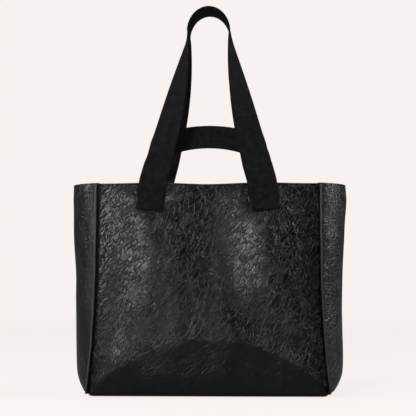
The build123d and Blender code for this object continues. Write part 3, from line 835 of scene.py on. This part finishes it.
def short_half(folded):
    """The right half of a short handle with its sewn end, on the front wall."""
    path = []
    for step in range(18):
        z = BAG_HEIGHT - END_DROP - 0.0015 + 0.002 * step
        along = SHORT_SPREAD / body_form(z)[0]
        place, outward = wall_place("front", along, z, INNER_END_INSET)
        path.append((place, Vector((1, outward.x, 0)).normalized()))
    bend = len(path) - 2
    if folded:
        top = path[-1][0]
        radius = (SHORT_PIVOT_Y - top.y) / 2
        for step in range(1, 7):
            turn = pi * step / 6
            path.append((Vector((SHORT_SPREAD, top.y + radius * (1 - cos(turn)),
                                 top.z + radius * sin(turn))), Vector((1, 0, 0))))
        bend = len(path) - 1
        away = Vector((0, 0, -1))
    else:
        away = Vector((0, sin(SHORT_LEAN), cos(SHORT_LEAN)))
    facing = Vector((0, -away.z, away.y))
    for centre, ray, turned in short_path():
        place = Vector((centre.x, SHORT_PIVOT_Y, BAG_HEIGHT)) + away * centre.y
        turn = 0.0 if folded else SHORT_TWIST * turned
        across = Vector((ray.x, 0, 0)) + away * ray.y
        path.append((place, across * cos(turn) - facing * sin(turn)))
    return path, bend


for name, folded in (("front", False), ("back", True)):
    half, bend = short_half(folded)
    other = [(mirrored(centre, -1, 1), mirrored(across, -1, 1)) for centre, across in half[:-1]]
    loop = half + other[::-1]
    last = len(loop) - bend
    loop = loop[:bend] + eased(loop[bend - 1:last + 1], 1, 8)[1:-1] + loop[last:]
    loop = squared(loop)
    if folded:
        loop = [(mirrored(centre, 1, -1), -mirrored(across, 1, -1)) for centre, across in loop]
    piece = strap(f"short_{name}_strap", loop)
    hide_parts(f"short_{name}_handle", f"short_{name}_end_left", f"short_{name}_end_right")
    if folded:
        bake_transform(piece)
    else:
        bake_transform(piece)


# Box stitching: each sewn end is fixed by a square of black stitches with both diagonals,
# outside on the long handles and inside on the short ones.
BOX_HALF_WIDTH = 0.0175
BOX_TOP = 0.0035
BOX_BOTTOM = 0.0355
BOX_PITCH = 0.0030
BOX_OUTER = 2 * WEBBING + 0.0006
BOX_INNER = INNER_END_INSET + WEBBING / 2 + 0.0001


def box_rows():
    """The rows of one box, as pairs of places across and down the sewn end."""
    top_left, top_right = (-BOX_HALF_WIDTH, BOX_TOP), (BOX_HALF_WIDTH, BOX_TOP)
    low_left, low_right = (-BOX_HALF_WIDTH, BOX_BOTTOM), (BOX_HALF_WIDTH, BOX_BOTTOM)
    return ((top_left, top_right), (top_right, low_right), (low_right, low_left),
            (low_left, top_left), (low_left, top_right), (top_left, low_right))


mesh = bmesh.new()
for face in (1, -1):
    for side in (-1, 1):
        for inside in (False, True):
            for (a0, b0), (a1, b1) in box_rows():
                def box_line(share):
                    across = a0 + (a1 - a0) * share
                    drop = b0 + (b1 - b0) * share
                    if inside:
                        x, z = SHORT_SPREAD + across, BAG_HEIGHT - 0.0018 - drop
                        along = x / body_form(z)[0]
                        place, outward = wall_place("front", along, z, BOX_INNER)
                        outward = -outward
                    else:
                        x = HANDLE_SPREAD + drop * sin(END_SPLAY) + across * cos(END_SPLAY)
                        z = END_TOP - drop * cos(END_SPLAY) + across * sin(END_SPLAY)
                        along = x / body_form(z)[0]
                        place, outward = wall_place("front", along, z)
                        centre_along = HANDLE_SPREAD / body_form(z)[0]
                        relief = leather_relief("front", centre_along, z)
                        place += outward * (BOX_OUTER + relief)
                    return mirrored(place, side, face), mirrored(outward, side, face)

                sew_row(mesh, box_line, hypot(a1 - a0, b1 - b0), BOX_PITCH)
settle("box_stitches", mesh, thread_finish)


# Magnetic snap: two pressed gunmetal discs in the middle of the facing, front and back.
# Each is clinched through the facing to a plate behind it.
snap_metal, tree, shader = new_finish("snap_gunmetal", 0.25, 1.0)
place = add_node(tree, "TexCoord").outputs["Object"]
scuffs = add_node(tree, "TexNoise", {"Vector": place, "Scale": 700, "Detail": 5}).outputs[0]
colour = tone(tree, scuffs, (0.28, 0.28, 0.29), (0.45, 0.45, 0.46))
tree.links.new(colour, shader.inputs["Base Color"])
tree.links.new(ramp(tree, scuffs, 0.3, 0.7, 0.18, 0.36), shader.inputs["Roughness"])
refinish(snap_metal, "snap_socket", "snap_stud", "snap_socket_plate", "snap_stud_plate")


# Pockets: two bottle pockets of lining cloth at the gussets, gathered under ribbed elastic,
# a flat slip pocket on the front lining, and the zip pocket's bag behind the back lining.
POCKET_FLOOR = 0.0053
POCKET_TOP = 0.1453
ELASTIC_LOW = 0.1313
POCKET_HALF = 0.046
POCKET_REACH = 0.024
POCKET_SETBACK = 0.0114      # the sewn edges lie this far inside the gusset's leather
GATHERS = 11                 # folds that the elastic gathers across a pocket
POCKET_WIDTH = 0.112         # a pocket laid flat
ELASTIC = 0.0010
SLIP_HALF = 0.105
SLIP_LOW, SLIP_HIGH = 0.045, 0.165
SLIP_INSET = 0.0047
ZIP_BAG_HALF = 0.101
ZIP_BAG_LOW, ZIP_BAG_HIGH = 0.070, 0.200
ZIP_BAG_INSET = 0.0024
PANEL_HALF = 0.163
elastic_cloth, tree, shader = new_finish("ribbed_elastic", 0.75)
cloth = add_node(tree, "TexCoord").outputs["UV"]
ribs = add_node(tree, "TexWave", {"Vector": cloth, "Scale": 260, "Distortion": 0.2},
                bands_direction="Y").outputs["Fac"]
colour = tone(tree, ribs, (0.010, 0.010, 0.011), (0.034, 0.034, 0.036))
tree.links.new(colour, shader.inputs["Base Color"])
bump = add_node(tree, "Bump", {"Height": ribs, "Strength": 0.7, "Distance": 0.0004})
tree.links.new(bump.outputs[0], shader.inputs["Normal"])


def pocket_wall(name, side, low, high, gathers, material, rows):
    """A pocket front that bulges into the bag between its two sewn edges."""
    half_width, half_depth, bow, _ = body_form(POCKET_TOP)
    radius = (half_depth ** 2 + bow ** 2) / (2 * bow)
    edge = half_width + bow - radius + (radius ** 2 - POCKET_HALF ** 2) ** 0.5 - POCKET_SETBACK

    def corner(u, v):
        y = POCKET_HALF * (2 * u - 1)
        z = low + (high - low) * v
        x = edge - POCKET_REACH * (1 - (y / POCKET_HALF) ** 2)
        gathered = smooth_step((z - 0.05) / 0.09) * (1 - (2 * u - 1) ** 4)
        x += gathers * gathered * sin(u * 2 * pi * GATHERS)
        return Vector((x * side, y * side, z))

    mesh = shaped_grid(110, rows, corner, (POCKET_WIDTH, high - low))
    return settle(name, mesh, material)


for side_name, side in (("left", -1), ("right", 1)):
    piece = pocket_wall("bottle_pocket_" + side_name + "_cloth", side, POCKET_FLOOR,
                        ELASTIC_LOW + 0.001, 0.0008, lining_cloth, 30)
    thicken(piece, LINING)
    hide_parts("bottle_pocket_" + side_name)
    band = pocket_wall("bottle_elastic_" + side_name + "_band", side, ELASTIC_LOW, POCKET_TOP,
                       0.0004, elastic_cloth, 8)
    thicken(band, ELASTIC, 0.0003)
    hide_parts("bottle_elastic_" + side_name)

slip = wall_sheet("slip_pocket_cloth", "front", SLIP_LOW, SLIP_HIGH, SLIP_INSET, lining_cloth,
                  60, 30, span=SLIP_HALF / PANEL_HALF, ripple=0.0003)
thicken(slip, LINING)
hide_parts("slip_pocket")
bag = wall_sheet("zip_pocket_cloth", "back", ZIP_BAG_LOW, ZIP_BAG_HIGH, ZIP_BAG_INSET,
                 lining_cloth, 60, 30, span=ZIP_BAG_HALF / PANEL_HALF)
thicken(bag, LINING)
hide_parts("zip_pocket_bag")


# Zip pocket: a metal chain on woven tape in a stitched leather window on the back lining.
# The slider carries a plain tab pull on a fixed bail.
zip_metal, tree, shader = new_finish("zip_gunmetal", 0.32, 1.0)
place = add_node(tree, "TexCoord").outputs["Object"]
brushed = add_node(tree, "TexNoise", {"Vector": place, "Scale": 1500, "Detail": 3}).outputs[0]
colour = tone(tree, brushed, (0.18, 0.18, 0.19), (0.34, 0.34, 0.35))
tree.links.new(colour, shader.inputs["Base Color"])
tree.links.new(ramp(tree, brushed, 0.3, 0.7, 0.25, 0.42), shader.inputs["Roughness"])
refinish(zip_metal, "zip_teeth_upper", "zip_teeth_lower", "zip_slider", "zip_pull",
         "zip_stop_closed", "zip_stop_open")
tape_cloth, tree, shader = new_finish("zip_tape", 0.8)
place = add_node(tree, "TexCoord").outputs["Object"]
ribs = add_node(tree, "TexWave", {"Vector": place, "Scale": 450}).outputs["Fac"]
colour = tone(tree, ribs, (0.008, 0.008, 0.009), (0.026, 0.026, 0.028))
tree.links.new(colour, shader.inputs["Base Color"])
bump = add_node(tree, "Bump", {"Height": ribs, "Strength": 0.5, "Distance": 0.0003})
tree.links.new(bump.outputs[0], shader.inputs["Normal"])
refinish(tape_cloth, "zip_tape_upper", "zip_tape_lower")

FRAME_CORNER = 0.006
FRAME_BORDER = 0.009
# Half the length and half the height of the outer and the inner rectangle of stitches.
FRAME_ROWS = ((0.1015, 0.0125), (0.0972, 0.0082))
low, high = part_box("zip_frame")
mesh = bmesh.new()
bmesh.ops.create_cube(mesh, size=1.0, matrix=Matrix.Translation((low + high) / 2)
                      @ Matrix.Diagonal((*(high - low), 1)))
corners = [edge for edge in mesh.edges
           if abs(edge.verts[0].co.y - edge.verts[1].co.y) > 1e-4]
bmesh.ops.bevel(mesh, geom=corners, offset=FRAME_CORNER, segments=6, profile=0.5,
                affect="EDGES", material=-1)
cheeks = [face for face in mesh.faces if abs(face.normal.y) > 0.9]
bmesh.ops.inset_region(mesh, faces=cheeks, thickness=FRAME_BORDER, use_even_offset=True)
openings = [face for face in mesh.faces if abs(face.normal.y) > 0.9
            and (face.calc_center_median() - (low + high) / 2).length < 0.002]
bmesh.ops.bridge_loops(mesh, edges=[edge for face in openings for edge in face.edges])
bmesh.ops.delete(mesh, geom=openings, context="FACES_ONLY")
bmesh.ops.recalc_face_normals(mesh, faces=mesh.faces)
window_frame = settle("zip_frame_leather", mesh, smooth_leather)
bevel = window_frame.modifiers.new("cut_edges", "BEVEL")
bevel.width = 0.0003
bevel.segments = 2
bevel.angle_limit = radians(60)
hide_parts("zip_frame")

mesh = bmesh.new()
middle = (low + high) / 2
for half_length, half_height in FRAME_ROWS:
    places = ((-half_length, -half_height), (half_length, -half_height),
              (half_length, half_height), (-half_length, half_height))
    for index in range(4):
        start, end = places[index], places[(index + 1) % 4]

        def frame_line(share):
            x = start[0] + (end[0] - start[0]) * share
            z = middle.z + start[1] + (end[1] - start[1]) * share
            return Vector((x, low.y - 0.0001, z)), Vector((0, -1, 0))

        sew_row(mesh, frame_line, hypot(end[0] - start[0], end[1] - start[1]))
settle("zip_frame_stitches", mesh, thread_finish)


# Floor and light: a pale plain floor that glows evenly into the distance, a main soft light
# ahead on the left, one light at each side, one above, and a dim even sky.
BACKGROUND = (0.930, 0.888, 0.866, 1)
FLOOR_RADIUS = 30.0
FLOOR_DROP = 0.0003
floor_finish, tree, shader = new_finish("pale_floor", 0.9)
seen = add_node(tree, "LightPath").outputs["Is Camera Ray"]
place = add_node(tree, "TexCoord").outputs["Object"]
reach = add_node(tree, "VectorMath", {0: place}, operation="LENGTH").outputs["Value"]
far = ramp(tree, reach, 0.6, 4.5, 0.882, 0.950)
glow = add_node(tree, "Emission", {"Color": BACKGROUND,
                                   "Strength": ramp(tree, seen, 0.0, 1.0, 0.07, far)})
speckle = add_node(tree, "TexNoise", {"Scale": 3.0}).outputs[0]
colour = tone(tree, speckle, (0.20, 0.193, 0.188), (0.21, 0.203, 0.198))
tree.links.new(colour, shader.inputs["Base Color"])
both = add_node(tree, "AddShader", {0: glow.outputs[0], 1: shader.outputs[0]})
tree.links.new(both.outputs[0], tree.nodes["Material Output"].inputs["Surface"])
mesh = bmesh.new()
bmesh.ops.create_circle(mesh, cap_ends=True, segments=96, radius=FLOOR_RADIUS,
                        matrix=Matrix.Translation((0, 0, -FLOOR_DROP)))
data = bpy.data.meshes.new("floor")
mesh.to_mesh(data)
mesh.free()
data.materials.append(floor_finish)
floor = bpy.data.objects.new("floor", data)
scene.collection.objects.link(floor)

world = bpy.data.worlds.new("studio")
scene.world = world
world.use_nodes = True
tree = world.node_tree
backdrop = tree.nodes["Background"]
backdrop.inputs["Color"].default_value = BACKGROUND
direction = add_node(tree, "TexCoord").outputs["Generated"]
parts = add_node(tree, "SeparateXYZ", {0: direction})
upward = ramp(tree, parts.outputs["Z"], -0.1, 0.9, 0.06, 0.26)
behind = ramp(tree, parts.outputs["Y"], -0.9, 0.3, 0.06, 1.0)
level = sums(tree, "MULTIPLY", upward, behind)
sky = add_node(tree, "Background", {"Color": (1.0, 0.985, 0.97, 1), "Strength": level})
rays = add_node(tree, "LightPath").outputs["Is Camera Ray"]
choice = add_node(tree, "MixShader", {0: rays, 1: sky.outputs[0], 2: backdrop.outputs[0]})
tree.links.new(choice.outputs[0], tree.nodes["World Output"].inputs["Surface"])

# Each light: name, place, diameter and power.
LIGHTS = (("key", (-0.95, -1.98, 0.62), 0.5, 15.0),
          ("side", (2.0, -0.15, 0.9), 0.9, 17.0),
          ("far_side", (-2.0, -0.50, 0.8), 0.6, 12.0),
          ("high", (-0.5, -1.25, 1.6), 0.7, 4.0))
for name, place, size, power in LIGHTS:
    light = bpy.data.lights.new(name, "AREA")
    light.shape = "DISK"
    light.size = size
    light.energy = power
    lamp = bpy.data.objects.new(name, light)
    lamp.location = place
    lamp.rotation_euler = (Vector((0, 0, 0.2)) - Vector(place)).to_track_quat("-Z", "Y").to_euler()
    scene.collection.objects.link(lamp)
